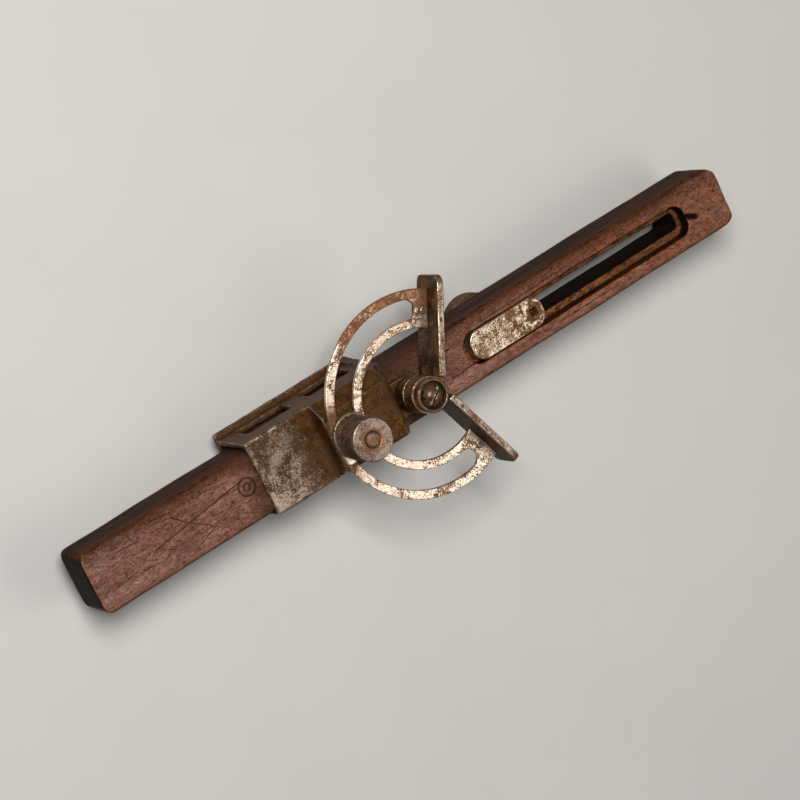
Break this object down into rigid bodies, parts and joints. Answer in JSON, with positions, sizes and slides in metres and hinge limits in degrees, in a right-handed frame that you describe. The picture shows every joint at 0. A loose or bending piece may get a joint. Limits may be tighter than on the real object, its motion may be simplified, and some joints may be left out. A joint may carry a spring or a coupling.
{
  "type": "marking gauge",
  "caption": "Marking gauge: a slotted wooden beam with a sliding scriber, and a cast sleeve head whose hinged fence arms are set by slotted arcs under a thumb nut.",
  "frame": {"origin": "on the fence pivot axis at the beam's underside face", "axes": "+X along the beam towards its slotted end, +Z out of the working face, +Y towards the head's windowed side"},
  "size_m": [0.2248, 0.0591, 0.0511],
  "materials": {
    "beam": "oiled rosewood, worn",
    "cast": "cast bronze with a brown patina, rubbed bright on the top face",
    "steel": "worn plating over steel, pitted and spotted with rust",
    "dark_steel": "dark, rust-browned steel",
    "nut_metal": "greyed plating over brass, knurled"
  },
  "bodies": {
    "beam": {"beam": "beam"},
    "head": {"head_casting": "cast", "pivot_post": "steel", "pivot_cap": "cast", "pivot_screw": "steel", "clamp_stud": "steel"},
    "upper_arm": {"upper_fence_plate": "dark_steel", "upper_slotted_arc": "steel", "upper_arc_rivet": "dark_steel"},
    "lower_arm": {"lower_fence_plate": "dark_steel", "lower_slotted_arc": "steel", "lower_arc_rivet": "dark_steel"},
    "clamp_washer_body": {"clamp_washer": "steel"},
    "clamp_nut_body": {"clamp_thumb_nut": "nut_metal"},
    "scriber_slide": {"slide_plate": "steel", "slide_stud": "steel"},
    "scriber_body": {"scriber": "dark_steel"},
    "slide_washer_body": {"slide_washer": "steel"},
    "slide_nut_body": {"slide_thumb_nut": "nut_metal"},
    "lock_shoe_body": {"lock_shoe": "steel"},
    "lock_screw_body": {"head_lock_screw": "nut_metal"}
  },
  "joints": [
    {"name": "head_slide", "type": "slide", "parent": "beam", "child": "head", "axis": [1, 0, 0], "range_m": [-0.05, 0.02]},
    {"name": "upper_arm_swing", "type": "hinge", "parent": "head", "child": "upper_arm", "pos_m": [0, 0, 0.028], "axis": [0, 0, -1], "range_deg": [-41.6, 2.8]},
    {"name": "lower_arm_swing", "type": "hinge", "parent": "head", "child": "lower_arm", "pos_m": [0, 0, 0.028], "axis": [0, 0, 1], "range_deg": [-36.4, 3.8]},
    {"name": "clamp_washer_lift", "type": "slide", "parent": "head", "child": "clamp_washer_body", "axis": [0, 0, 1], "range_m": [0, 0.0016]},
    {"name": "clamp_nut_turn", "type": "hinge", "parent": "clamp_washer_body", "child": "clamp_nut_body", "pos_m": [-0.0238, 0, 0.036], "axis": [0, 0, 1], "range_deg": [0, 720]},
    {"name": "scriber_slide_travel", "type": "slide", "parent": "beam", "child": "scriber_slide", "axis": [1, 0, 0], "range_m": [-0.0015, 0.052]},
    {"name": "scriber_extend", "type": "slide", "parent": "scriber_slide", "child": "scriber_body", "axis": [0, 0, 1], "range_m": [0, 0.006]},
    {"name": "slide_washer_drop", "type": "slide", "parent": "scriber_slide", "child": "slide_washer_body", "axis": [0, 0, -1], "range_m": [0, 0.0005]},
    {"name": "slide_nut_turn", "type": "hinge", "parent": "slide_washer_body", "child": "slide_nut_body", "pos_m": [0.039, 0, -0.005], "axis": [0, 0, -1], "range_deg": [0, 360]},
    {"name": "lock_shoe_drop", "type": "slide", "parent": "head", "child": "lock_shoe_body", "axis": [0, 0, -1], "range_m": [0, 0.0005]},
    {"name": "lock_screw_turn", "type": "hinge", "parent": "lock_shoe_body", "child": "lock_screw_body", "pos_m": [-0.027, 0, -0.007], "axis": [0, 0, -1], "range_deg": [0, 360]}
  ],
  "couplings": [
    {"joint": "clamp_nut_turn", "follows": "clamp_washer_lift", "rad_per_m": 7853.2},
    {"joint": "slide_nut_turn", "follows": "slide_washer_drop", "rad_per_m": 12565},
    {"joint": "lock_screw_turn", "follows": "lock_shoe_drop", "rad_per_m": 12565}
  ]
}
